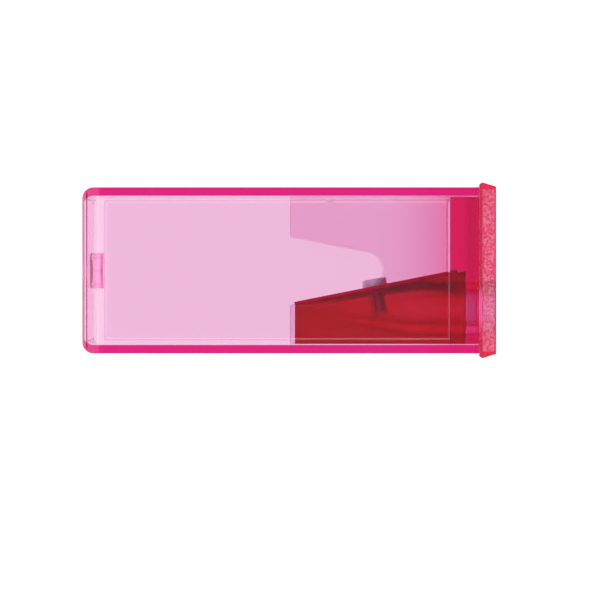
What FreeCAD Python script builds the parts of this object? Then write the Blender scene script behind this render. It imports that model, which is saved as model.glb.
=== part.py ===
import FreeCAD, Part
import os
import re

import Sketcher

# A flat pencil sharpener with its own shavings case.
#
# The open-ended case holds the shavings.  The end cap closes it: a frosted cap with a
# solid block behind it and two guide plates that slide along the case's inner faces.
# The sharpener body is a wedge that lies between the guide plates with its wide end
# let into the block.  The blade lies on the wedge's slope, under one screw.
#
# Frame: +X runs from the closed end to the cap, +Y across the width, +Z through the
# depth.  The object lies on one of its two large faces.  Each body is drawn about the
# middle of the object, and its Placement lifts it so that the lowest edge is at Z = 0.

# ---------------------------------------------------------------- driving sizes (mm)
SIZES = {
    # case
    "overall_length": 60.0,      # closed end to the cap's outer face
    "case_width": 24.0,          # outer width across the side walls
    "side_wall": 1.2,            # long side walls
    "face_wall": 1.3,            # front face, measured through the raised panel
    "end_wall": 0.7,             # closed end
    "mouth_gap": 0.03,           # case mouth to the cap when closed
    "plan_corner": 1.75,         # outer corner radius of the closed end, seen on the large face
    "end_round": 2.9,            # outer rounding of the closed end, seen from the side
    "panel_rise": 0.5,           # how far the front face's panel stands up
    "panel_side_margin": 2.0,    # panel to the side of the case
    "panel_end_margin": 3.5,     # panel to the closed end
    "panel_mouth_margin": 4.25,  # panel to the mouth
    "panel_bevel": 0.22,         # bevel round the panel
    "well_dia": 3.6,             # round well in the closed end
    "well_depth": 2.5,
    "boss_dia": 5.2,             # boss inside, behind the well
    "boss_reach": 2.9,           # closed end to the boss's inner face
    # end cap
    "cap_thickness": 2.45,       # case mouth to the cap's outer face
    "cap_step": 0.4,             # cap's back face beyond the case, all round
    "ridge_rise": 0.7,           # finger ridge beyond the case, all round
    "ridge_reach": 0.4,          # case mouth to the ridge
    "cap_taper": 0.6,            # how far the outer face draws in from the ridge
    "block_reach": 4.1,          # mouth to the block's inner face
    "block_gap": 0.05,           # push fit of the block between the large faces
    "guide_reach": 27.3,         # mouth to the guide plates' free ends
    "guide_thickness": 0.5,
    "guide_gap": 0.15,           # sliding clearance of the plates and the block's sides
    "notch_radius": 2.85,        # round end of the notch in the guide plates
    "notch_depth": 13.7,         # free end of the guide plates to the notch's deepest point
    "bore_mouth": 0.5,           # chamfer where the pencil goes in
    # sharpener body
    "wedge_setback": 0.67,       # guide plates' free ends to the wedge's narrow end
    "seat_depth": 2.2,           # how far the wedge is let into the block
    "seat_gap": 0.03,            # clearance round the wedge in the end cap
    "bore_dia": 8.0,             # pencil bore
    "bore_floor": 1.15,          # plastic left under the bore
    "bore_wall": 0.67,           # plastic left beside the bore
    "tip_radius": 0.65,          # cone's radius at the wedge's narrow end
    "cone_half_angle": 11.25,    # degrees; the slope is parallel to the cone's top line
    "slope_drop": 0.2,           # how far the slope cuts below the cone's top line
    "chip_width": 2.6,           # shavings slot beside the cutting edge
    "chip_depth": 0.9,
    "chip_undercut": 0.15,       # how far the cutting edge overhangs the slot
    "relief_inset": 0.75,        # rim round the shallow relief in the wedge's sides
    "relief_length": 10.0,
    "relief_depth": 0.4,
    # blade
    "blade_length": 24.0,
    "blade_thickness": 0.5,
    "blade_offset": 0.2,         # cutting edge beyond the bore's axis
    "blade_gap": 0.1,            # blade to the guide plate and to the block
    "ground_width": 1.2,         # ground bevel along the cutting edge
    "edge_land": 0.06,           # thickness left at the cutting edge
    "blade_hole_dia": 2.3,
    # screw
    "screw_setback": 4.3,        # cutting edge to the screw's axis
    "screw_margin": 2.7,         # screw's axis to the blade's back edge
    "head_dia": 3.6,
    "head_height": 1.05,
    "head_round": 0.3,
    "slot_width": 0.5,
    "slot_depth": 0.55,
    "shank_dia": 2.0,
    "shank_length": 3.6,         # below the blade
    "shank_gap": 0.04,           # radial clearance in the wedge
    "hole_spare": 0.4,           # hole deeper than the shank
}

# ------------------------------------------------ sizes that follow from the ones above
RELATIONS = {
    "closed_x": "-overall_length / 2",
    "cap_x": "overall_length / 2",
    "mouth_x": "cap_x - cap_thickness",
    # depth, built up from the bore, the blade and the plates round them
    "blade_width": "screw_setback + screw_margin",
    "wedge_depth": "bore_wall + bore_dia / 2 + blade_offset + blade_width + blade_gap - seat_gap",
    "wedge_half": "wedge_depth / 2",
    "guide_inner": "wedge_half + seat_gap",
    "guide_outer": "guide_inner + guide_thickness",
    "cavity_half_depth": "guide_outer + guide_gap",
    "case_half_depth": "cavity_half_depth + face_wall",
    "rim_half_depth": "case_half_depth - panel_rise",
    "ridge_half_depth": "rim_half_depth + ridge_rise",
    # width
    "case_half_width": "case_width / 2",
    "cavity_half_width": "case_half_width - side_wall",
    "guide_half_width": "cavity_half_width - guide_gap",
    # end cap
    "guide_x": "mouth_x - guide_reach",
    "block_x": "mouth_x - block_reach",
    "notch_centre_x": "guide_x + notch_depth - notch_radius",
    # sharpener body
    "wedge_x": "guide_x + wedge_setback",
    "seat_x": "block_x + seat_depth",
    "wedge_bottom": "-guide_half_width",
    "rise": "tan(cone_half_angle * 1deg)",
    "bore_y": "wedge_bottom + bore_floor + bore_dia / 2",
    "bore_z": "bore_wall + bore_dia / 2 - wedge_half",
    "tip_y": "bore_y + tip_radius - slope_drop / cos(cone_half_angle * 1deg)",
    "bore_x": "wedge_x + (bore_dia / 2 - tip_radius) / rise",
    "seat_y": "tip_y + (seat_x - wedge_x) * rise",
    # blade and screw, on the slope
    "edge_z": "bore_z + blade_offset",
    "back_z": "edge_z + blade_width",
    "screw_z": "edge_z + screw_setback",
    "screw_run": "blade_length / 2",
    "screw_x": "wedge_x + screw_run * cos(cone_half_angle * 1deg)",
    "screw_y": "tip_y + screw_run * sin(cone_half_angle * 1deg)",
    "blade_end_x": "wedge_x + blade_length * cos(cone_half_angle * 1deg) + blade_gap",
    "head_top": "blade_thickness + head_height",
}

OVERCUT = "1"                    # how far a cutting profile runs past what it cuts
NAME = re.compile(r"[A-Za-z_][A-Za-z_0-9]*")

doc = FreeCAD.newDocument("PencilSharpener")
sheet = doc.addObject("Spreadsheet::Sheet", "Sizes")
for row, (alias, size) in enumerate(SIZES.items(), start=1):
    sheet.set(f"A{row}", alias)
    sheet.set(f"B{row}", str(size))
    sheet.setAlias(f"B{row}", alias)
doc.recompute()


# ------------------------------------------------------------------------- formulas
def bound(text):
    """Turn a formula in plain size names into an expression on the sheet's cells."""
    def cell(match):
        word = match.group(0)
        if word in SIZES:
            return "Sizes." + word
        if word in RELATIONS:
            return "(" + bound(RELATIONS[word]) + ")"
        return word
    return NAME.sub(cell, text)


def number(text):
    """The formula's value now, as a starting place for a sketch."""
    return float(sheet.evalExpression(bound(text)))


def bind(feature, **formulas):
    """Bind properties of a feature to formulas."""
    for name, text in formulas.items():
        feature.setExpression(name, bound(text))


# ------------------------------------------------------------------ building features
def new_body(name):
    """A body whose label names its file, lifted to stand on Z = 0."""
    body = doc.addObject("PartDesign::Body", name)
    body.Label = name
    bind(body, **{"Placement.Base.z": "ridge_half_depth"})
    return body


def origin_plane(body, role):
    """One of the body's own origin planes."""
    return next(item for item in body.Origin.OriginFeatures if item.Role == role)


def new_sketch(body, name, role="XY_Plane", offset=None, **places):
    """A sketch on an origin plane; offset is a whole attachment formula."""
    sketch = body.newObject("Sketcher::SketchObject", name)
    sketch.AttachmentSupport = (origin_plane(body, role), [""])
    sketch.MapMode = "FlatFace"
    if offset:
        bind(sketch, AttachmentOffset=offset)
    for axis, text in places.items():
        bind(sketch, **{f"AttachmentOffset.Base.{axis}": text})
    return sketch


def hold(sketch, edge, end, place):
    """Hold one end of an edge, or a centre, at a place given by two formulas."""
    for kind, text in zip(("DistanceX", "DistanceY"), place):
        index = sketch.addConstraint(Sketcher.Constraint(kind, -1, 1, edge, end, number(text)))
        sketch.setExpression(f"Constraints[{index}]", bound(text))


def arc_between(start, end, radius, turn):
    """The short arc between two points, anticlockwise; turn is +1 when it curves to the left."""
    chord = end - start
    left = FreeCAD.Vector(-chord.y, chord.x, 0).normalize()
    rise = (radius ** 2 - (chord.Length / 2) ** 2) ** 0.5
    centre = start + chord * 0.5 + left * rise * turn
    middle = centre - left * radius * turn
    return Part.Arc(start, middle, end) if turn > 0 else Part.Arc(end, middle, start)


def outline(sketch, corners):
    """Draw a closed profile.

    Each corner is (x, y), reached by a straight edge, or (x, y, radius, turn), reached
    by an arc.  Every corner is held by its own formulas.
    """
    points = [FreeCAD.Vector(number(corner[0]), number(corner[1]), 0) for corner in corners]
    edges = []
    for index, corner in enumerate(corners):
        start = points[index - 1]
        end = points[index]
        forward = True
        if len(corner) == 2:
            edge = sketch.addGeometry(Part.LineSegment(start, end))
        else:
            edge = sketch.addGeometry(arc_between(start, end, number(corner[2]), corner[3]))
            radius = sketch.addConstraint(Sketcher.Constraint("Radius", edge, number(corner[2])))
            sketch.setExpression(f"Constraints[{radius}]", bound(corner[2]))
            forward = corner[3] > 0
        edges.append((edge, 1 if forward else 2, 2 if forward else 1))
    for index, corner in enumerate(corners):
        edge, _, end = edges[index]
        following, start, _ = edges[(index + 1) % len(edges)]
        sketch.addConstraint(Sketcher.Constraint("Coincident", edge, end, following, start))
        hold(sketch, edge, end, corner[:2])


def disc(sketch, centre, diameter):
    """Draw a circle whose centre and diameter are formulas."""
    place = FreeCAD.Vector(number(centre[0]), number(centre[1]), 0)
    edge = sketch.addGeometry(Part.Circle(place, FreeCAD.Vector(0, 0, 1), number(diameter) / 2))
    hold(sketch, edge, 3, centre)
    index = sketch.addConstraint(Sketcher.Constraint("Diameter", edge, number(diameter)))
    sketch.setExpression(f"Constraints[{index}]", bound(diameter))


def extrude(body, kind, sketch, length, symmetric=False, reverse=False):
    """Pad or Pocket a sketch, and make sure that it changed the solid."""
    doc.recompute()
    before = body.Shape.Volume if body.Tip else 0.0
    feature = body.newObject(f"PartDesign::{kind}", sketch.Name + kind)
    feature.Profile = sketch
    if symmetric:
        feature.SideType = "Symmetric"
    feature.Reversed = reverse
    bind(feature, Length=length)
    doc.recompute()
    change = body.Shape.Volume - before
    if change * (1 if kind == "Pad" else -1) < 1e-4:
        raise RuntimeError(f"{feature.Name} doesn't change {body.Label}")
    return feature


def edges_where(shape, wanted):
    """Names of the straight or round edges that a test picks out."""
    return [f"Edge{i}" for i, edge in enumerate(shape.Edges, start=1) if wanted(edge)]


def dress(body, kind, size, wanted):
    """Fillet or Chamfer the picked edges of the body's last feature."""
    base = body.Tip
    feature = body.newObject(f"PartDesign::{kind}", f"{base.Name}{kind}")
    feature.Base = (base, edges_where(base.Shape, wanted))
    bind(feature, **{"Radius" if kind == "Fillet" else "Size": size})
    doc.recompute()
    return feature


def on_slope(across):
    """Placement of a piece drawn on the slope: x up the slope, z away from the wedge."""
    place = f"vector({across[0]}; {across[1]}; {across[2]})"
    turn = "rotation(vector(0; 0; 1); cone_half_angle) * rotation(vector(1; 0; 0); -90)"
    return f"placement({place}; {turn})"


# ------------------------------------------------------------------------------ case
def make_case():
    """Open-ended case with a rounded closed end and a raised panel on its front face."""
    case = new_body("case")

    plan = new_sketch(case, "CasePlan")
    outline(plan, [
        ("mouth_x - mouth_gap", "-case_half_width"),
        ("mouth_x - mouth_gap", "case_half_width"),
        ("closed_x + plan_corner", "case_half_width"),
        ("closed_x", "case_half_width - plan_corner", "plan_corner", 1),
        ("closed_x", "plan_corner - case_half_width"),
        ("closed_x + plan_corner", "-case_half_width", "plan_corner", 1),
    ])
    extrude(case, "Pad", plan, "2 * rim_half_depth", symmetric=True)

    panel = new_sketch(case, "CasePanel")
    panel_y = "case_half_width - panel_side_margin"
    outline(panel, [
        ("mouth_x - panel_mouth_margin", f"-({panel_y})"),
        ("mouth_x - panel_mouth_margin", panel_y),
        ("closed_x + panel_end_margin", panel_y),
        ("closed_x + panel_end_margin", f"-({panel_y})"),
    ])
    extrude(case, "Pad", panel, "case_half_depth")
    top = number("case_half_depth")
    dress(case, "Chamfer", "panel_bevel", lambda edge: edge.BoundBox.ZMin > top - 1e-6)

    # The closed end is rounded over both large faces.
    rounding = new_sketch(case, "CaseEndRound", "XZ_Plane")
    for side in ("", "-"):
        outline(rounding, [
            (f"closed_x - {OVERCUT}", f"{side}(rim_half_depth + {OVERCUT})"),
            ("closed_x + end_round", f"{side}(rim_half_depth + {OVERCUT})"),
            ("closed_x + end_round", f"{side}rim_half_depth"),
            ("closed_x", f"{side}(rim_half_depth - end_round)", "end_round", -1 if side else 1),
            (f"closed_x - {OVERCUT}", f"{side}(rim_half_depth - end_round)"),
        ])
    extrude(case, "Pocket", rounding, f"case_width + {OVERCUT}", symmetric=True)

    # The cavity follows the outside at the closed end, in plan and from the side.
    cavity = new_sketch(case, "CaseCavity")
    inner_x = "(closed_x + end_wall)"
    inner_corner = "(plan_corner - side_wall / 2)"
    outline(cavity, [
        (f"mouth_x + {OVERCUT}", "-cavity_half_width"),
        (f"mouth_x + {OVERCUT}", "cavity_half_width"),
        (f"{inner_x} + {inner_corner}", "cavity_half_width"),
        (inner_x, f"cavity_half_width - {inner_corner}", inner_corner, 1),
        (inner_x, f"{inner_corner} - cavity_half_width"),
        (f"{inner_x} + {inner_corner}", "-cavity_half_width", inner_corner, 1),
    ])
    extrude(case, "Pocket", cavity, "2 * cavity_half_depth", symmetric=True)

    cove = new_sketch(case, "CaseInnerRound", "XZ_Plane")
    cove_radius = "(end_round - end_wall)"
    for side in ("", "-"):
        outline(cove, [
            (inner_x, f"{side}cavity_half_depth"),
            (inner_x, f"{side}(cavity_half_depth - {cove_radius})"),
            (f"{inner_x} + {cove_radius}", f"{side}cavity_half_depth", cove_radius, 1 if side else -1),
        ])
    extrude(case, "Pad", cove, "2 * cavity_half_width + side_wall", symmetric=True)

    boss = new_sketch(case, "CaseBoss", "YZ_Plane", z="closed_x + end_wall / 2")
    disc(boss, ("0", "0"), "boss_dia")
    extrude(case, "Pad", boss, "boss_reach - end_wall / 2")
    well = new_sketch(case, "CaseWell", "YZ_Plane", z="closed_x")
    disc(well, ("0", "0"), "well_dia")
    extrude(case, "Pocket", well, "well_depth", reverse=True)
    return case


# --------------------------------------------------------------------------- end cap
def cap_section(cap, name, x, half_width, half_depth):
    """One rectangular section of the cap, square to its length."""
    section = new_sketch(cap, name, "YZ_Plane", z=x)
    outline(section, [
        (f"-({half_width})", f"-({half_depth})"),
        (half_width, f"-({half_depth})"),
        (half_width, half_depth),
        (f"-({half_width})", half_depth),
    ])
    return section


def make_end_cap():
    """Frosted cap, the block behind it and the two notched guide plates, in one moulding."""
    cap = new_body("end_cap")

    back = cap_section(cap, "CapBack", "mouth_x",
                       "case_half_width + cap_step", "rim_half_depth + cap_step")
    ridge = cap_section(cap, "CapRidge", "mouth_x + ridge_reach",
                        "case_half_width + ridge_rise", "ridge_half_depth")
    face = cap_section(cap, "CapFace", "cap_x",
                       "case_half_width + ridge_rise - cap_taper", "ridge_half_depth - cap_taper")
    loft = cap.newObject("PartDesign::AdditiveLoft", "CapShell")
    loft.Profile = back
    loft.Sections = [ridge, face]
    loft.Ruled = True
    doc.recompute()

    block = new_sketch(cap, "CapBlock", "YZ_Plane", z="block_x")
    block_y = "guide_half_width"
    block_z = "(cavity_half_depth - block_gap)"
    outline(block, [
        (f"-{block_y}", f"-{block_z}"),
        (block_y, f"-{block_z}"),
        (block_y, block_z),
        (f"-{block_y}", block_z),
    ])
    extrude(cap, "Pad", block, "block_reach + cap_thickness / 2")

    guides = new_sketch(cap, "GuidePlates")
    outline(guides, [
        ("guide_x", "-guide_half_width"),
        ("block_x + seat_depth", "-guide_half_width"),
        ("block_x + seat_depth", "guide_half_width"),
        ("guide_x", "guide_half_width"),
    ])
    extrude(cap, "Pad", guides, "2 * guide_outer", symmetric=True)

    # Room between the plates, stepping into the block where the wedge is let in.
    room = new_sketch(cap, "GuideRoom")
    outline(room, [
        (f"guide_x - {OVERCUT}", f"cavity_half_width + {OVERCUT}"),
        (f"guide_x - {OVERCUT}", f"-cavity_half_width - {OVERCUT}"),
        ("seat_x + seat_gap", f"-cavity_half_width - {OVERCUT}"),
        ("seat_x + seat_gap", "seat_y + seat_gap * (1 + rise)"),
        ("block_x", "seat_y - seat_depth * rise + seat_gap"),
        ("block_x", f"cavity_half_width + {OVERCUT}"),
    ])
    extrude(cap, "Pocket", room, "2 * guide_inner", symmetric=True)

    # The blade's end tucks into the block above the wedge.
    tuck = new_sketch(cap, "BladeTuck", z="guide_inner")
    low = "tip_y + ({0} - wedge_x) * rise"
    high = low + " + blade_thickness / cos(cone_half_angle * 1deg) + blade_gap"
    outline(tuck, [
        ("block_x - blade_gap", low.format("block_x - blade_gap")),
        ("blade_end_x", low.format("blade_end_x")),
        ("blade_end_x", high.format("blade_end_x")),
        ("block_x - blade_gap", high.format("block_x - blade_gap")),
    ])
    extrude(cap, "Pocket", tuck, "guide_inner - edge_z + blade_gap")

    # Notch in the guide plates: sides at the cone's angle, running into a round end.
    notch = new_sketch(cap, "GuideNotch")
    touch_x = "notch_centre_x + notch_radius * sin(cone_half_angle * 1deg)"
    touch_y = "notch_radius * cos(cone_half_angle * 1deg)"
    mouth_y = f"{touch_y} + ({touch_x} - guide_x + {OVERCUT}) * rise"
    outline(notch, [
        (f"guide_x - {OVERCUT}", f"-({mouth_y})"),
        (touch_x, f"-({touch_y})"),
        ("notch_centre_x + notch_radius", "0", "notch_radius", 1),
        (touch_x, touch_y, "notch_radius", 1),
        (f"guide_x - {OVERCUT}", mouth_y),
    ])
    extrude(cap, "Pocket", notch, f"2 * guide_outer + {OVERCUT}", symmetric=True)

    bore = new_sketch(cap, "CapBore", "YZ_Plane", z="cap_x")
    disc(bore, ("bore_y", "bore_z"), "bore_dia")
    extrude(cap, "Pocket", bore, f"cap_thickness + block_reach + {OVERCUT}")
    outer = number("cap_x")
    dress(cap, "Chamfer", "bore_mouth",
          lambda edge: edge.BoundBox.XMin > outer - 1e-6 and isinstance(edge.Curve, Part.Circle))
    return cap


# -------------------------------------------------------------------- sharpener body
def make_sharpener_body():
    """Wedge with the conical pencil bore, the shavings slot and the screw's hole."""
    wedge = new_body("sharpener_body")

    profile = new_sketch(wedge, "WedgeProfile")
    outline(profile, [
        ("wedge_x", "wedge_bottom"),
        ("seat_x", "wedge_bottom"),
        ("seat_x", "seat_y"),
        ("wedge_x", "tip_y"),
    ])
    extrude(wedge, "Pad", profile, "wedge_depth", symmetric=True)

    relief = new_sketch(wedge, "WedgeRelief", z="wedge_half")
    near_x = "wedge_x + relief_inset"
    far_x = "wedge_x + relief_inset + relief_length"
    outline(relief, [
        (near_x, "wedge_bottom + relief_inset"),
        (far_x, "wedge_bottom + relief_inset"),
        (far_x, "tip_y - relief_inset + (relief_inset + relief_length) * rise"),
        (near_x, "tip_y - relief_inset + relief_inset * rise"),
    ])
    cut = extrude(wedge, "Pocket", relief, "relief_depth")
    mirrored = wedge.newObject("PartDesign::Mirrored", "WedgeReliefBack")
    mirrored.Originals = [cut]
    mirrored.MirrorPlane = (origin_plane(wedge, "XY_Plane"), [""])
    wedge.Tip = mirrored
    doc.recompute()

    # Half the bore's section, turned about the bore's axis: cone, then cylinder.
    bore = new_sketch(wedge, "BoreSection", y="bore_y", z="bore_z")
    outline(bore, [
        (f"wedge_x - {OVERCUT}", "0"),
        (f"seat_x + {OVERCUT}", "0"),
        (f"seat_x + {OVERCUT}", "bore_dia / 2"),
        ("bore_x", "bore_dia / 2"),
        (f"wedge_x - {OVERCUT}", f"tip_radius - {OVERCUT} * rise"),
    ])
    groove = wedge.newObject("PartDesign::Groove", "PencilBore")
    groove.Profile = bore
    groove.ReferenceAxis = (bore, ["H_Axis"])
    groove.Angle = 360
    doc.recompute()

    # Shavings slot: a V along the slope beside the cutting edge.
    chip = new_sketch(wedge, "ChipSlot", "YZ_Plane",
                      offset="placement(vector(tip_y; 0; wedge_x); rotation(vector(0; 1; 0); cone_half_angle))")
    outline(chip, [
        ("0", "edge_z - chip_width"),
        ("-chip_depth", "edge_z + chip_undercut"),
        ("0", "edge_z + chip_undercut"),
        (OVERCUT, "edge_z + chip_undercut"),
        (OVERCUT, "edge_z - chip_width"),
    ])
    extrude(wedge, "Pocket", chip, f"2 * (blade_length + {OVERCUT})", symmetric=True)

    hole = new_sketch(wedge, "ScrewHole", "XZ_Plane",
                      offset="placement(vector(screw_x; screw_z; -screw_y); "
                             "rotation(vector(0; 1; 0); cone_half_angle))")
    disc(hole, ("0", "0"), "shank_dia + 2 * shank_gap")
    extrude(wedge, "Pocket", hole, "shank_length + hole_spare", reverse=True)
    return wedge


# ----------------------------------------------------------------------------- blade
def make_blade():
    """Flat blade with one ground edge and a round hole for the screw."""
    blade = new_body("blade")
    bind(blade, Placement=on_slope(("wedge_x", "tip_y", "ridge_half_depth")))

    section = new_sketch(blade, "BladeSection", "YZ_Plane")
    outline(section, [
        ("-edge_z", "0"),
        ("-edge_z", "edge_land"),
        ("-edge_z - ground_width", "blade_thickness"),
        ("-back_z", "blade_thickness"),
        ("-back_z", "0"),
    ])
    extrude(blade, "Pad", section, "blade_length")
    hole = new_sketch(blade, "BladeHole")
    disc(hole, ("screw_run", "-screw_z"), "blade_hole_dia")
    extrude(blade, "Pocket", hole, "2 * blade_thickness + 1", symmetric=True)
    return blade


# ----------------------------------------------------------------------------- screw
def make_screw():
    """Slotted pan-head screw that clamps the blade."""
    screw = new_body("blade_screw")
    bind(screw, Placement=on_slope(("screw_x", "screw_y", "ridge_half_depth + screw_z")))

    section = new_sketch(screw, "ScrewSection", "XZ_Plane")
    outline(section, [
        ("0", "-shank_length"),
        ("shank_dia / 4", "-shank_length"),
        ("shank_dia / 2", "-shank_length + shank_dia / 4"),
        ("shank_dia / 2", "blade_thickness"),
        ("head_dia / 2", "blade_thickness"),
        ("head_dia / 2", "head_top - head_round"),
        ("head_dia / 2 - head_round", "head_top", "head_round", 1),
        ("0", "head_top"),
    ])
    turned = screw.newObject("PartDesign::Revolution", "ScrewTurned")
    turned.Profile = section
    turned.ReferenceAxis = (section, ["V_Axis"])
    turned.Angle = 360
    doc.recompute()
    slot = new_sketch(screw, "DriverSlot", "XY_Plane", z="head_top")
    outline(slot, [
        (f"-head_dia / 2 - {OVERCUT}", "-slot_width / 2"),
        (f"head_dia / 2 + {OVERCUT}", "-slot_width / 2"),
        (f"head_dia / 2 + {OVERCUT}", "slot_width / 2"),
        (f"-head_dia / 2 - {OVERCUT}", "slot_width / 2"),
    ])
    extrude(screw, "Pocket", slot, "slot_depth")
    return screw


# ----------------------------------------------------------------------------- write
def check_document():
    """Stop if any object failed to build."""
    for item in doc.Objects:
        if {"Invalid", "Error"} & set(item.State):
            raise RuntimeError(f"{item.Name} failed: {item.State}")


def write_piece(body):
    """Write one sub-part, once its shape is sound."""
    shape = body.Shape
    if shape.isNull() or not shape.isValid() or len(shape.Solids) != 1:
        raise RuntimeError(f"{body.Label} isn't one sound solid")
    shape.exportStep(os.path.join("parts", body.Label + ".step"))
    print(f"{body.Label}: {shape.Volume:.1f} mm3, {shape.BoundBox}")


pieces = [make_case(), make_end_cap(), make_sharpener_body(), make_blade(), make_screw()]
doc.recompute()
check_document()
os.makedirs("parts", exist_ok=True)
for piece in pieces:
    write_piece(piece)
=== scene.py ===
"""Looks of a flat pencil sharpener with a clear, tinted shavings case.

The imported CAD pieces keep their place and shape.  This script softens their edges, gives
each its finish, and sets up the lit table, the light and the camera.
Everything is in metres, in the row's own frame.
"""
from __future__ import annotations

import logging
import math
from dataclasses import dataclass, field
from enum import Enum

import bpy
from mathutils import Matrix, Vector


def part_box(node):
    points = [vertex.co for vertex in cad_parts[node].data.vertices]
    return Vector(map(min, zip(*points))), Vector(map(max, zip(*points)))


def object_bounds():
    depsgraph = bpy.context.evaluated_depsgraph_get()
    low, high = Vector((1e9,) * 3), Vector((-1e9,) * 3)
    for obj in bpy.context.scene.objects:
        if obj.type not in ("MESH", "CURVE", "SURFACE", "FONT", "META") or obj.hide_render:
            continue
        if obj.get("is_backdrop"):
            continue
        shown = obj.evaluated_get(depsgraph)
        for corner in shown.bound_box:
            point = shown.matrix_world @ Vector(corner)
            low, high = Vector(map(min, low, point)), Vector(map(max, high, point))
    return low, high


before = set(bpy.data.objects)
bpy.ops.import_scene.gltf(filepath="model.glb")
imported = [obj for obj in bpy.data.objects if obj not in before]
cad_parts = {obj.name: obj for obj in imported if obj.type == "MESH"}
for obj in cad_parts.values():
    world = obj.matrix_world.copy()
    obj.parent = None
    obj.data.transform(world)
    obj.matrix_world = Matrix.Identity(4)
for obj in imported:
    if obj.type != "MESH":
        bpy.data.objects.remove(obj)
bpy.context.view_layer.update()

LOG = logging.getLogger("sharpener")
MM = 0.001
Colour = tuple[float, float, float]


class Slot(Enum):
    """Material slots of the record."""

    CASE = "case_plastic"
    CAP = "cap_plastic"
    BODY = "body_plastic"
    BLADE = "blade_steel"
    SCREW = "screw_steel"


# --------------------------------------------------------------------------- node trees
class Wiring:
    """Short way to place and join shader nodes in one tree."""

    def __init__(self, tree: bpy.types.NodeTree) -> None:
        """Start on an empty or existing tree.

        Args:
            tree: the node tree to add to.
        """
        self.tree = tree

    def add(self, kind: str, settings: dict | None = None, **sockets: object) -> bpy.types.Node:
        """Place a node.

        Args:
            kind: the node's type name, without its ShaderNode prefix.
            settings: properties to set on the node itself.
            sockets: values or sockets for its inputs, with spaces as underscores.

        Returns:
            The new node.
        """
        prefix = "" if kind.startswith("NodeGroup") else "ShaderNode"
        node = self.tree.nodes.new(prefix + kind)
        for name, value in (settings or {}).items():
            setattr(node, name, value)
        for name, value in sockets.items():
            self.feed(self.input_of(node, name), value)
        return node

    @staticmethod
    def input_of(node: bpy.types.Node, name: str) -> bpy.types.NodeSocket:
        """Find an enabled input by its name, or by place when the name is in_0, in_1 and so on.

        Args:
            node: the node to look at.
            name: the input's name, with spaces as underscores.

        Returns:
            The input socket.
        """
        if name.startswith("in_"):
            return node.inputs[int(name[3:])]
        plain = name.replace("_", " ")
        return next(s for s in node.inputs if s.name == plain and s.enabled)

    def feed(self, socket: bpy.types.NodeSocket, value: object) -> None:
        """Link a socket or set its plain value.

        Args:
            socket: the input to feed.
            value: an output socket, or a plain value.
        """
        if isinstance(value, bpy.types.NodeSocket):
            self.tree.links.new(value, socket)
        else:
            socket.default_value = value

    def math(self, operation: str, *values: object) -> bpy.types.NodeSocket:
        """One arithmetic step.

        Args:
            operation: the Math node's operation.
            values: its operands, sockets or numbers.

        Returns:
            The result's socket.
        """
        named = {f"in_{i}": value for i, value in enumerate(values)}
        return self.add("Math", {"operation": operation}, **named).outputs[0]

    def spread(self, value: object, low: float, high: float, to_low: float,
               to_high: float) -> bpy.types.NodeSocket:
        """Map a value from one range to another, clamped.

        Args:
            value: the socket to map.
            low: value that maps to to_low.
            high: value that maps to to_high.
            to_low: result at low.
            to_high: result at high.

        Returns:
            The mapped value's socket.
        """
        node = self.add("MapRange", in_0=value, in_1=low, in_2=high, in_3=to_low, in_4=to_high)
        return node.outputs[0]


class Group:
    """A shader node group with named inputs and outputs, built once."""

    def __init__(self, name: str, inputs: dict[str, tuple[str, object]], outputs: dict[str, str]) -> None:
        """Make the group's interface.

        Args:
            name: the group's name.
            inputs: each input's socket type and default value.
            outputs: each output's socket type.
        """
        self.tree = bpy.data.node_groups.new(name, "ShaderNodeTree")
        for label, (kind, value) in inputs.items():
            socket = self.tree.interface.new_socket(label, in_out="INPUT", socket_type=kind)
            if value is not None:
                socket.default_value = value
        for label, kind in outputs.items():
            self.tree.interface.new_socket(label, in_out="OUTPUT", socket_type=kind)
        self.wiring = Wiring(self.tree)
        self.source = self.tree.nodes.new("NodeGroupInput").outputs
        self.target = self.tree.nodes.new("NodeGroupOutput").inputs

    def place(self, wiring: Wiring, **sockets: object) -> bpy.types.Node:
        """Use the group in a material.

        Args:
            wiring: the material's wiring.
            sockets: values or sockets for the group's inputs.

        Returns:
            The group node.
        """
        return wiring.add("Group", {"node_tree": self.tree}, **sockets)


def moulded_surface() -> Group:
    """Height of a moulded plastic skin: slow flow ripples with a fine mould grain.

    Returns:
        The node group.
    """
    group = Group(
        "moulded surface",
        {"Vector": ("NodeSocketVector", None), "Ripple Size": ("NodeSocketFloat", 180.0),
         "Ripple": ("NodeSocketFloat", 1.0), "Grain Size": ("NodeSocketFloat", 4000.0),
         "Grain": ("NodeSocketFloat", 0.2)},
        {"Height": "NodeSocketFloat"},
    )
    wiring, source = group.wiring, group.source
    ripple = wiring.add("TexNoise", Vector=source["Vector"], Scale=source["Ripple Size"], Detail=2.0)
    grain = wiring.add("TexNoise", Vector=source["Vector"], Scale=source["Grain Size"], Detail=3.0)
    slow = wiring.math("MULTIPLY", ripple.outputs["Fac"], source["Ripple"])
    fine = wiring.math("MULTIPLY", grain.outputs["Fac"], source["Grain"])
    wiring.feed(group.target["Height"], wiring.math("ADD", slow, fine))
    return group


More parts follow.
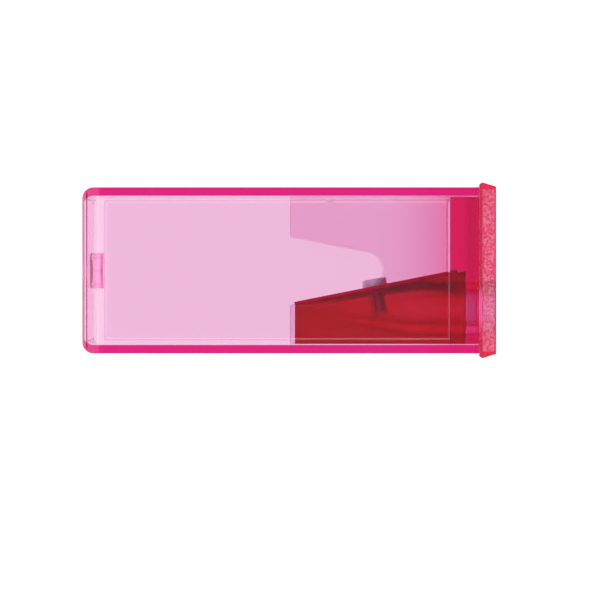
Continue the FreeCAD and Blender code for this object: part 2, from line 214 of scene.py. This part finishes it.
def hairline_scuffs() -> Group:
    """Mask of fine handling scratches that run two ways.

    Returns:
        The node group.
    """
    group = Group(
        "hairline scuffs",
        {"Vector": ("NodeSocketVector", None), "Density": ("NodeSocketFloat", 1.0)},
        {"Mask": "NodeSocketFloat"},
    )
    wiring, source = group.wiring, group.source
    masks = []
    for turn, stretch in ((0.5, (60.0, 2600.0, 600.0)), (2.1, (80.0, 3100.0, 700.0))):
        along = wiring.add("Mapping", Vector=source["Vector"], Rotation=(0.0, 0.0, turn), Scale=stretch)
        lines = wiring.add("TexNoise", Vector=along.outputs[0], Scale=1.0, Detail=2.0)
        masks.append(wiring.spread(lines.outputs["Fac"], 0.66, 0.74, 0.0, 1.0))
    both = wiring.math("MAXIMUM", *masks)
    wiring.feed(group.target["Mask"], wiring.math("MULTIPLY", both, source["Density"]))
    return group


def brushed_lines() -> Group:
    """Height of straight grinding lines along one direction.

    Returns:
        The node group.
    """
    group = Group(
        "brushed lines",
        {"Vector": ("NodeSocketVector", None), "Turn": ("NodeSocketFloat", 0.0),
         "Fineness": ("NodeSocketFloat", 6000.0)},
        {"Height": "NodeSocketFloat"},
    )
    wiring, source = group.wiring, group.source
    turn = wiring.add("VectorRotate", {"rotation_type": "Z_AXIS"}, Vector=source["Vector"], Angle=source["Turn"])
    stretch = wiring.add("VectorMath", {"operation": "MULTIPLY"}, in_0=turn.outputs[0], in_1=(0.03, 1.0, 1.0))
    lines = wiring.add("TexNoise", Vector=stretch.outputs[0], Scale=source["Fineness"], Detail=4.0)
    wiring.feed(group.target["Height"], lines.outputs["Fac"])
    return group


@dataclass
class Effects:
    """The shared node groups."""

    moulded: Group = field(default_factory=moulded_surface)
    scuffs: Group = field(default_factory=hairline_scuffs)
    brushed: Group = field(default_factory=brushed_lines)


# ------------------------------------------------------------------------------ finishes
@dataclass
class ClearShade:
    """What a clear plastic's shader is fed with, while its finish is put together."""

    wiring: Wiring
    place: bpy.types.NodeSocket
    rough: bpy.types.NodeSocket
    height: bpy.types.NodeSocket
    tint: object = (1.0, 1.0, 1.0, 1.0)

    def __post_init__(self) -> None:
        """Split the place on the piece into its axes."""
        self.axes = self.wiring.add("SeparateXYZ", Vector=self.place).outputs

    def across(self, axis: str) -> bpy.types.NodeSocket:
        """Distance from the middle along one axis.

        Args:
            axis: X, Y or Z.

        Returns:
            The distance's socket.
        """
        return self.wiring.math("ABSOLUTE", self.axes[axis])

    def facing(self, axis: str) -> bpy.types.NodeSocket:
        """How squarely the surface faces along one axis, from 0 to 1.

        Args:
            axis: X, Y or Z.

        Returns:
            The measure's socket.
        """
        normal = self.wiring.add("NewGeometry").outputs["Normal"]
        parts = self.wiring.add("SeparateXYZ", Vector=normal).outputs
        return self.wiring.math("ABSOLUTE", parts[axis])

    def lay(self, mask: bpy.types.NodeSocket, colour: Colour) -> None:
        """Lay a colour over the tint where the mask is white.

        Args:
            mask: where the colour goes.
            colour: the colour.
        """
        mix = self.wiring.add("MixRGB", Fac=mask, Color1=self.tint, Color2=(*colour, 1.0))
        self.tint = mix.outputs[0]

    def roughen(self, mask: bpy.types.NodeSocket, roughness: float) -> None:
        """Raise the roughness where the mask is white.

        Args:
            mask: where the surface is rougher.
            roughness: roughness under a white mask.
        """
        raised = self.wiring.math("MULTIPLY", mask, roughness)
        self.rough = self.wiring.math("MAXIMUM", self.rough, raised)


@dataclass(frozen=True)
class Panel:
    """Painted line along the edge of the raised panel on the case's front face: the pink light that its bevel
    refracts.
    """

    end_margin: float = 3.5 * MM
    mouth_margin: float = 4.22 * MM
    side_margin: float = 2.0 * MM
    line: float = 0.13 * MM
    front_from: float = 0.9
    front_to: float = 0.93
    # painted refraction: the pink that the panel's bevel picks up from the cap and the walls
    refracted_pink: Colour = (0.94, 0.5, 0.72)

    def lay(self, shade: ClearShade) -> None:
        """Paint the pink light that the panel's bevel refracts, as a line along its edge.

        Args:
            shade: the case's shade.
        """
        wiring = shade.wiring
        low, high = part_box("case")
        left, right = low.x + self.end_margin, high.x - self.mouth_margin
        from_middle = wiring.math("SUBTRACT", shade.axes["X"], (left + right) / 2)
        along = wiring.math("SUBTRACT", wiring.math("ABSOLUTE", from_middle), (right - left) / 2)
        across = wiring.math("SUBTRACT", shade.across("Y"), high.y - self.side_margin)
        off_line = wiring.math("ABSOLUTE", wiring.math("MAXIMUM", along, across))
        edge = wiring.spread(off_line, self.line * 0.5, self.line, 1.0, 0.0)
        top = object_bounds()[1].z
        front = wiring.spread(shade.axes["Z"], top * self.front_from, top * self.front_to, 0.0, 1.0)
        shade.lay(wiring.math("MULTIPLY", edge, front), self.refracted_pink)


@dataclass(frozen=True)
class CapGlowAndDeepEnd:
    """Painted pink light from the crimson cap on the case towards the cap, and a deeper pink on its closed end,
    which is also blurred.
    """

    start: float = 0.012
    full: float = 0.0245
    bend: float = 2.0
    # painted light: the pink that the crimson cap casts on the case, also laid on the closed end
    colour: Colour = (0.98, 0.66, 0.8)
    end_depth: float = 0.8 * MM
    end_fade: float = 0.3 * MM
    end_blur: float = 0.3

    def near_cap(self, shade: ClearShade) -> None:
        """Paint the pink light that the crimson cap casts on the case towards it.

        Args:
            shade: the case's shade.
        """
        near = shade.wiring.spread(shade.axes["X"], self.start, self.full, 0.0, 1.0)
        shade.lay(shade.wiring.math("POWER", near, self.bend), self.colour)

    def closed_end(self, shade: ClearShade) -> None:
        """Deepen and blur the closed end.

        Args:
            shade: the case's shade.
        """
        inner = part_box("case")[0].x + self.end_depth
        end = shade.wiring.spread(shade.axes["X"], inner - self.end_fade, inner, 1.0, 0.0)
        shade.roughen(end, self.end_blur)
        shade.lay(end, self.colour)


@dataclass(frozen=True)
class PlateEdges:
    """Crimson on the narrow edges of the block and the guide plates."""

    colour: Colour = (0.4, 0.02, 0.1)
    flat_from: float = 0.85
    flat_to: float = 0.995
    fade: float = 0.3 * MM

    def lay(self, shade: ClearShade) -> None:
        """Tint the edges inside the case.

        Args:
            shade: the cap's shade.
        """
        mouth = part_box("case")[1].x
        edge = shade.wiring.spread(shade.facing("Z"), self.flat_from, self.flat_to, 1.0, 0.0)
        inside = shade.wiring.spread(shade.axes["X"], mouth - self.fade, mouth, 1.0, 0.0)
        shade.lay(shade.wiring.math("MULTIPLY", edge, inside), self.colour)


@dataclass(frozen=True)
class Frost:
    """Frosted bloom with grain on the cap, between clear crimson rims, and painted shade on the block just inside
    the case's mouth.
    """

    start: float = 0.35 * MM
    full: float = 0.7 * MM
    side_rim: float = 0.4 * MM
    side_fade: float = 0.15 * MM
    rim_from: float = 0.3 * MM
    rim_to: float = 0.15 * MM
    face_from: float = 0.9
    face_to: float = 0.98
    roughness: float = 0.5
    pit_size: float = 2800.0
    pit_depth: float = 14.0
    skin_fade: float = 0.1 * MM
    strip: Colour = (0.9, 0.08, 0.32)
    # painted shade: the block is darkened just inside the case's mouth
    painted_mouth_shade: Colour = (0.8, 0.8, 0.75)
    mouth_shade_from: float = 1.65 * MM
    mouth_shade_to: float = 1.45 * MM
    grain: tuple[float, float] = (0.46, 0.56)
    grain_low: float = 0.12
    coat_roughness: float = 0.9
    coat_ior: float = 3.0

    def place(self, shade: ClearShade) -> bpy.types.NodeSocket:
        """Mask of the frosted part of the cap.

        Args:
            shade: the cap's shade.

        Returns:
            The mask's socket.
        """
        wiring, x = shade.wiring, shade.axes["X"]
        mouth, side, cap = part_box("case")[1].x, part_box("case")[1].y - self.side_rim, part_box("end_cap")[1].x
        past = wiring.spread(x, mouth + self.start, mouth + self.full, 0.0, 1.0)
        inner = wiring.spread(shade.across("Y"), side, side + self.side_fade, 1.0, 0.0)
        rim = wiring.spread(x, cap - self.rim_from, cap - self.rim_to, 1.0, 0.0)
        face = wiring.spread(shade.facing("X"), self.face_from, self.face_to, 0.0, 1.0)
        return wiring.math("MULTIPLY", past, wiring.math("MAXIMUM", face, wiring.math("MULTIPLY", rim, inner)))

    def lay(self, shade: ClearShade, shader: bpy.types.Node) -> None:
        """Frost the cap, tint what stays clear beside the frost, and paint shade on the block just inside the
        mouth.

        Args:
            shade: the cap's shade.
            shader: the cap's shader, which gets the bloom as its coat.
        """
        wiring, x = shade.wiring, shade.axes["X"]
        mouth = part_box("case")[1].x
        pits = wiring.add("TexNoise", Vector=shade.place, Scale=self.pit_size, Detail=2.0, Roughness=0.6)
        pits = pits.outputs["Fac"]
        frost = self.place(shade)
        shade.roughen(frost, self.roughness)
        pitted = wiring.math("MULTIPLY", wiring.math("MULTIPLY", pits, frost), self.pit_depth)
        shade.height = wiring.math("ADD", shade.height, pitted)
        skin = wiring.spread(x, mouth, mouth + self.skin_fade, 0.0, 1.0)
        shade.lay(wiring.math("MULTIPLY", skin, wiring.math("SUBTRACT", 1.0, frost)), self.strip)
        # painted shade on the block just inside the mouth
        painted_mouth_shade = wiring.spread(x, mouth - self.mouth_shade_from, mouth - self.mouth_shade_to, 0.0, 1.0)
        shade.lay(wiring.math("MULTIPLY", painted_mouth_shade, wiring.math("SUBTRACT", 1.0, skin)), self.painted_mouth_shade)
        grain = wiring.spread(pits, self.grain[0], self.grain[1], self.grain_low, 1.0)
        wiring.feed(shader.inputs["Coat Weight"], wiring.math("MULTIPLY", frost, grain))
        shader.inputs["Coat Roughness"].default_value = self.coat_roughness
        shader.inputs["Coat IOR"].default_value = self.coat_ior


@dataclass(frozen=True)
class ClearPlastic:
    """Clear tinted moulding, polished.

    The tint is what the plastic takes out of the light on its way through, with painted light and shade laid over
    it on some pieces.
    """

    name: str
    absorbed: Colour
    density: float
    ior: float = 1.49
    roughness: float = 0.02
    ripple: float = 1.0
    scuffs: float = 0.08
    panel: Panel | None = None
    cap_glow_and_deep_end: CapGlowAndDeepEnd | None = None
    edges: PlateEdges | None = None
    frost: Frost | None = None

    def material(self, effects: Effects) -> bpy.types.Material:
        """Build the finish.

        Args:
            effects: the shared node groups.

        Returns:
            The material.
        """
        material = bpy.data.materials.new(self.name)
        material.use_nodes = True
        wiring = Wiring(material.node_tree)
        shader = material.node_tree.nodes["Principled BSDF"]
        output = material.node_tree.nodes["Material Output"]
        place = wiring.add("TexCoord").outputs["Object"]
        skin = effects.moulded.place(wiring, Vector=place, Ripple=self.ripple)
        scuffs = effects.scuffs.place(wiring, Vector=place)
        worn = wiring.math("MULTIPLY", scuffs.outputs["Mask"], self.scuffs)
        shade = ClearShade(wiring, place, wiring.math("ADD", worn, self.roughness), skin.outputs["Height"])
        # painted pink light from the crimson cap, towards the mouth
        if self.cap_glow_and_deep_end is not None:
            self.cap_glow_and_deep_end.near_cap(shade)
        if self.edges is not None:
            self.edges.lay(shade)
        # painted refraction along the panel's bevelled edge
        if self.panel is not None:
            self.panel.lay(shade)
        if self.cap_glow_and_deep_end is not None:
            self.cap_glow_and_deep_end.closed_end(shade)
        if self.frost is not None:
            self.frost.lay(shade, shader)
        bump = wiring.add("Bump", Strength=0.25, Distance=0.02 * MM, Height=shade.height)
        for name, value in (("Base Color", shade.tint), ("Transmission Weight", 1.0), ("IOR", self.ior),
                            ("Roughness", shade.rough), ("Normal", bump.outputs["Normal"])):
            wiring.feed(shader.inputs[name], value)
        volume = wiring.add("VolumeAbsorption", Color=(*self.absorbed, 1.0), Density=self.density)
        wiring.feed(output.inputs["Volume"], volume.outputs["Volume"])
        return material


@dataclass(frozen=True)
class GroundSteel:
    """Steel with grinding lines, for the blade and the screw, with an optional painted crimson reflection along
    the blade's back edge.
    """

    name: str
    colour: Colour = (0.62, 0.62, 0.63)
    roughness: float = 0.24
    turn: float = 0.0
    fineness: float = 6000.0
    depth: float = 0.15
    # painted reflection: the blade's back edge takes the crimson of the plastic around it
    red_reflection_above: float | None = None
    red_reflection_fade: float = 0.04 * MM
    red_reflection_roughness: float = 0.7
    red_reflection: Colour = (0.9, 0.03, 0.14)

    def material(self, effects: Effects) -> bpy.types.Material:
        """Build the finish.

        Args:
            effects: the shared node groups.

        Returns:
            The material.
        """
        material = bpy.data.materials.new(self.name)
        material.use_nodes = True
        wiring = Wiring(material.node_tree)
        shader = material.node_tree.nodes["Principled BSDF"]
        place = wiring.add("TexCoord").outputs["Object"]
        lines = effects.brushed.place(wiring, Vector=place, Turn=self.turn, Fineness=self.fineness)
        stain = wiring.add("TexNoise", Vector=place, Scale=420.0, Detail=3.0)
        rough = wiring.spread(stain.outputs["Fac"], 0.3, 0.7, self.roughness * 0.8, self.roughness * 1.3)
        bump = wiring.add("Bump", Strength=self.depth, Distance=0.01 * MM, Height=lines.outputs["Height"])
        streaks = wiring.add("MixRGB", {"blend_type": "MULTIPLY"}, Fac=0.25,
                             Color1=(*self.colour, 1.0), Color2=lines.outputs["Height"])
        colour = streaks.outputs[0]
        # painted crimson reflection on the blade's back edge
        if self.red_reflection_above is not None:
            height = wiring.add("SeparateXYZ", Vector=place).outputs["Z"]
            edge = wiring.spread(height, self.red_reflection_above - self.red_reflection_fade, self.red_reflection_above, 0.0, 1.0)
            colour = wiring.add("MixRGB", Fac=edge, Color1=colour, Color2=(*self.red_reflection, 1.0)).outputs[0]
            rough = wiring.math("MAXIMUM", rough, wiring.math("MULTIPLY", edge, self.red_reflection_roughness))
        for name, value in (("Base Color", colour), ("Metallic", 1.0), ("Roughness", rough),
                            ("Normal", bump.outputs["Normal"])):
            wiring.feed(shader.inputs[name], value)
        return material


# -------------------------------------------------------------------------------- pieces
@dataclass
class Softening:
    """Rounds a CAD piece's sharp edges without moving its faces."""

    width: float = 0.12 * MM
    segments: int = 3
    sharper_than: float = math.radians(28)
    joined_within: float = 1e-6
    flat_within: float = math.radians(0.3)

    def apply(self, node: bpy.types.Object) -> None:
        """Add the modifiers that clean up and soften one piece.

        Args:
            node: the CAD piece's object.
        """
        for name in ("custom_normal", "sharp_edge", "sharp_face"):
            if name in node.data.attributes:
                node.data.attributes.remove(node.data.attributes[name])
        for polygon in node.data.polygons:
            polygon.use_smooth = True
        weld = node.modifiers.new("join facets", "WELD")
        weld.merge_threshold = self.joined_within
        flat = node.modifiers.new("whole faces", "DECIMATE")
        flat.decimate_type = "DISSOLVE"
        flat.angle_limit = self.flat_within
        soft = node.modifiers.new("soft edges", "BEVEL")
        soft.width = self.width
        soft.segments = self.segments
        soft.limit_method = "ANGLE"
        soft.angle_limit = self.sharper_than
        soft.use_clamp_overlap = True
        facing = node.modifiers.new("face normals", "WEIGHTED_NORMAL")
        facing.keep_sharp = False
        facing.weight = 100


def dress(name: str, finish: bpy.types.Material) -> bpy.types.Object:
    """Give a CAD piece its finish.

    Args:
        name: the CAD node.
        finish: the material.

    Returns:
        The piece's object.
    """
    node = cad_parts[name]
    node.data.materials.clear()
    node.data.materials.append(finish)
    return node


@dataclass
class Case:
    """The clear shavings case."""

    absorbed: Colour = (0.935, 0.0, 0.633)
    density: float = 278.0
    soft: Softening = field(default_factory=Softening)

    def build(self, effects: Effects) -> bpy.types.Object:
        """Dress the case.

        Args:
            effects: the shared node groups.

        Returns:
            The case's object.
        """
        # painted light: refracted pink on the panel's edge, and pink from the cap towards the mouth
        finish = ClearPlastic("clear pink case", self.absorbed, self.density, panel=Panel(), cap_glow_and_deep_end=CapGlowAndDeepEnd())
        node = dress("case", finish.material(effects))
        self.soft.apply(node)
        return node


@dataclass
class EndCap:
    """The crimson end cap, frosted outside the case's mouth."""

    absorbed: Colour = (0.955, 0.0, 0.56)
    density: float = 275.0
    ior: float = 1.4
    soft: Softening = field(default_factory=Softening)

    def build(self, effects: Effects) -> bpy.types.Object:
        """Dress the end cap.

        Args:
            effects: the shared node groups.

        Returns:
            The end cap's object.
        """
        finish = ClearPlastic("crimson end cap", self.absorbed, self.density, ior=self.ior,
                              edges=PlateEdges(), frost=Frost())
        node = dress("end_cap", finish.material(effects))
        self.soft.apply(node)
        return node


@dataclass
class SharpenerBody:
    """The dark red wedge that holds the pencil and the blade."""

    absorbed: Colour = (0.944, 0.0, 0.22)
    density: float = 900.0
    roughness: float = 0.3
    soft: Softening = field(default_factory=Softening)

    def build(self, effects: Effects) -> bpy.types.Object:
        """Dress the wedge.

        Args:
            effects: the shared node groups.

        Returns:
            The wedge's object.
        """
        finish = ClearPlastic("dark red wedge", self.absorbed, self.density, roughness=self.roughness)
        node = dress("sharpener_body", finish.material(effects))
        self.soft.apply(node)
        return node


@dataclass
class Blade:
    """The ground steel blade, with a painted crimson reflection along its back edge."""

    slope: float = math.radians(11.25)
    back_edge: float = 0.02 * MM
    soft: Softening = field(default_factory=lambda: Softening(width=0.04 * MM, segments=2))

    def build(self, effects: Effects) -> bpy.types.Object:
        """Dress the blade.

        Args:
            effects: the shared node groups.

        Returns:
            The blade's object.
        """
        # painted crimson reflection along the blade's back edge
        finish = GroundSteel("ground blade", turn=-self.slope, red_reflection_above=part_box("blade")[1].z - self.back_edge)
        node = dress("blade", finish.material(effects))
        self.soft.apply(node)
        return node


@dataclass
class BladeScrew:
    """The bright screw that clamps the blade."""

    colour: Colour = (0.97, 0.96, 0.96)
    roughness: float = 0.48
    soft: Softening = field(default_factory=lambda: Softening(width=0.04 * MM, segments=2))

    def build(self, effects: Effects) -> bpy.types.Object:
        """Dress the screw.

        Args:
            effects: the shared node groups.

        Returns:
            The screw's object.
        """
        finish = GroundSteel("bright screw", colour=self.colour, roughness=self.roughness)
        node = dress("blade_screw", finish.material(effects))
        self.soft.apply(node)
        return node


# --------------------------------------------------------------------------------- stage
@dataclass
class Stage:
    """Glowing white table, even room light that is darker overhead, and the camera above."""

    floor_size: float = 3.0
    floor_drop: float = 0.02 * MM
    table_shade: Colour = (0.15, 0.15, 0.15)
    table_glow: float = 0.95
    room_light: float = 1.25
    overhead_light: float = 0.16
    dark_above: tuple[float, float] = (0.93, 0.985)
    scale_height: float = 0.0164
    camera_height: float = 0.48
    view_width: float = 0.0867
    aim: tuple[float, float] = (0.00173, -0.00429)
    sensor_width: float = 36.0
    far: float = 10.0
    bounces: int = 48
    diffuse_bounces: int = 8

    def floor(self) -> bpy.types.Object:
        """Lay the floor just under the lowest point.

        Returns:
            The floor's object.
        """
        half = self.floor_size / 2
        mesh = bpy.data.meshes.new("floor")
        corners = [(-half, -half, 0), (half, -half, 0), (half, half, 0), (-half, half, 0)]
        mesh.from_pydata(corners, [], [(0, 1, 2, 3)])
        floor = bpy.data.objects.new("floor", mesh)
        bpy.context.scene.collection.objects.link(floor)
        floor.location.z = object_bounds()[0].z - self.floor_drop
        material = bpy.data.materials.new("lit white table")
        material.use_nodes = True
        wiring = Wiring(material.node_tree)
        shader = material.node_tree.nodes["Principled BSDF"]
        place = wiring.add("TexCoord").outputs["Object"]
        tooth = wiring.add("TexNoise", Vector=place, Scale=900.0, Detail=4.0)
        bump = wiring.add("Bump", Strength=0.05, Distance=0.02 * MM, Height=tooth.outputs["Fac"])
        for name, value in (("Base Color", (*self.table_shade, 1.0)), ("Roughness", 0.7),
                            ("Specular IOR Level", 0.1), ("Emission Color", (1.0, 1.0, 1.0, 1.0)),
                            ("Emission Strength", self.table_glow), ("Normal", bump.outputs["Normal"])):
            wiring.feed(shader.inputs[name], value)
        mesh.materials.append(material)
        floor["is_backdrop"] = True
        return floor

    def light(self) -> None:
        """Surround the object with even white light that is darker overhead."""
        world = bpy.data.worlds.new("soft room")
        bpy.context.scene.world = world
        world.use_nodes = True
        wiring = Wiring(world.node_tree)
        shader = world.node_tree.nodes["Background"]
        height = wiring.add("SeparateXYZ", Vector=wiring.add("TexCoord").outputs["Generated"]).outputs["Z"]
        level = wiring.spread(height, self.dark_above[0], self.dark_above[1], self.room_light, self.overhead_light)
        wiring.feed(shader.inputs["Color"], (1.0, 1.0, 1.0, 1.0))
        wiring.feed(shader.inputs["Strength"], level)

    def camera(self) -> bpy.types.Object:
        """Hang the camera over the large face, looking straight down.

        Returns:
            The camera's object.
        """
        data = bpy.data.cameras.new("camera")
        data.sensor_width = self.sensor_width
        data.lens = data.sensor_width * self.camera_height / self.view_width
        data.clip_end = self.far
        camera = bpy.data.objects.new("camera", data)
        bpy.context.scene.collection.objects.link(camera)
        camera.location = (*self.aim, self.scale_height + self.camera_height)
        bpy.context.scene.camera = camera
        return camera

    def rendering(self) -> None:
        """Let light pass through many plastic walls, and show colours as they are."""
        scene = bpy.context.scene
        scene.view_settings.view_transform = "Standard"
        scene.cycles.max_bounces = self.bounces
        scene.cycles.transmission_bounces = self.bounces
        scene.cycles.glossy_bounces = self.bounces
        scene.cycles.diffuse_bounces = self.diffuse_bounces


def main() -> None:
    """Build the sharpener's looks in order."""
    logging.basicConfig(level=logging.INFO, format="%(message)s")
    effects = Effects()
    for piece in (Case(), EndCap(), SharpenerBody(), Blade(), BladeScrew()):
        node = piece.build(effects)
        LOG.info("%s is dressed", node.name)
    stage = Stage()
    stage.floor()
    stage.light()
    stage.camera()
    stage.rendering()


if __name__ == "__main__":
    main()
